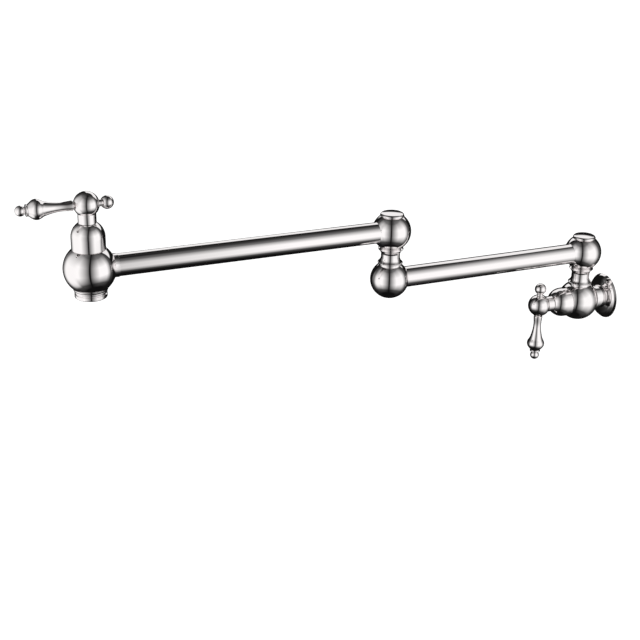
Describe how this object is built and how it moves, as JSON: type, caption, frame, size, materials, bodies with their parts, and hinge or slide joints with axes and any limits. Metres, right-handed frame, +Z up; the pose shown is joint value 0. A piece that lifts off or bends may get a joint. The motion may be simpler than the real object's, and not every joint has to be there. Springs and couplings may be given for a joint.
{
  "type": "wall mounted pot filler",
  "caption": "Wall mounted kitchen pot filler tap with folding double-jointed arms, ball shaped swivels and quarter turn lever valves at wall and outlet.",
  "frame": {"origin": "centre of the threaded inlet mouth, in the plane of the wall", "axes": "+Z up, +Y into the wall along the inlet axis, so the arms reach out along -Y at rest, +X to the right facing the wall"},
  "size_m": [0.051, 0.6587, 0.2517],
  "materials": {
    "chrome_plate": "polished chrome plate on brass",
    "brass": "machined brass",
    "ceramic": "lapped white ceramic",
    "rubber_seal": "matt black rubber",
    "slip_washer": "smooth white low friction plastic",
    "steel_fastener": "bright turned stainless steel",
    "aerator_plastic": "fine moulded grey plastic"
  },
  "bodies": {
    "wall_unit": {"wall_flange": "chrome_plate", "valve_body": "chrome_plate", "wall_valve_bonnet": "chrome_plate", "wall_cartridge": "brass", "wall_fixed_disc": "ceramic", "wall_seat_seal": "rubber_seal", "column_post": "chrome_plate", "column_seals": "rubber_seal", "column_thrust_washer": "slip_washer", "column_retaining_washer": "steel_fastener", "column_retaining_screw": "steel_fastener"},
    "wall_handle": {"wall_handle_hub": "chrome_plate", "wall_handle_lever": "chrome_plate", "wall_handle_finial": "chrome_plate", "wall_handle_stem": "brass", "wall_handle_disc": "ceramic", "wall_handle_seal": "rubber_seal", "wall_handle_grub_screw": "steel_fastener"},
    "inner_arm": {"column_swivel_ball": "chrome_plate", "column_cap": "chrome_plate", "inner_arm_tube": "chrome_plate", "elbow_lower_ball": "chrome_plate", "elbow_post": "chrome_plate", "elbow_seals": "rubber_seal", "elbow_thrust_washer": "slip_washer", "elbow_retaining_washer": "steel_fastener", "elbow_retaining_screw": "steel_fastener"},
    "outer_arm": {"elbow_swivel_ball": "chrome_plate", "elbow_cap": "chrome_plate", "outer_arm_tube": "chrome_plate", "outlet_body": "chrome_plate", "outlet_valve_bonnet": "chrome_plate", "outlet_cartridge": "brass", "outlet_fixed_disc": "ceramic", "outlet_seat_seal": "rubber_seal", "aerator_housing": "chrome_plate", "aerator_insert": "aerator_plastic", "aerator_washer": "rubber_seal"},
    "outlet_handle": {"outlet_handle_hub": "chrome_plate", "outlet_handle_lever": "chrome_plate", "outlet_handle_finial": "chrome_plate", "outlet_handle_stem": "brass", "outlet_handle_disc": "ceramic", "outlet_handle_seal": "rubber_seal", "outlet_handle_grub_screw": "steel_fastener"}
  },
  "joints": [
    {"name": "column_swivel", "type": "hinge", "parent": "wall_unit", "child": "inner_arm", "pos_m": [0, -0.035, 0.0572], "axis": [0, 0, 1], "range_deg": [-90, 90]},
    {"name": "elbow_swivel", "type": "hinge", "parent": "inner_arm", "child": "outer_arm", "pos_m": [0, -0.276, 0.1102], "axis": [0, 0, 1], "range_deg": [-180, 180]},
    {"name": "wall_valve_turn", "type": "hinge", "parent": "wall_unit", "child": "wall_handle", "pos_m": [0, -0.0864, 0], "axis": [0, -1, 0], "range_deg": [0, 90]},
    {"name": "outlet_valve_turn", "type": "hinge", "parent": "outer_arm", "child": "outlet_handle", "pos_m": [0, -0.5928, 0.1735], "axis": [0, 0, 1], "range_deg": [0, 90]}
  ]
}
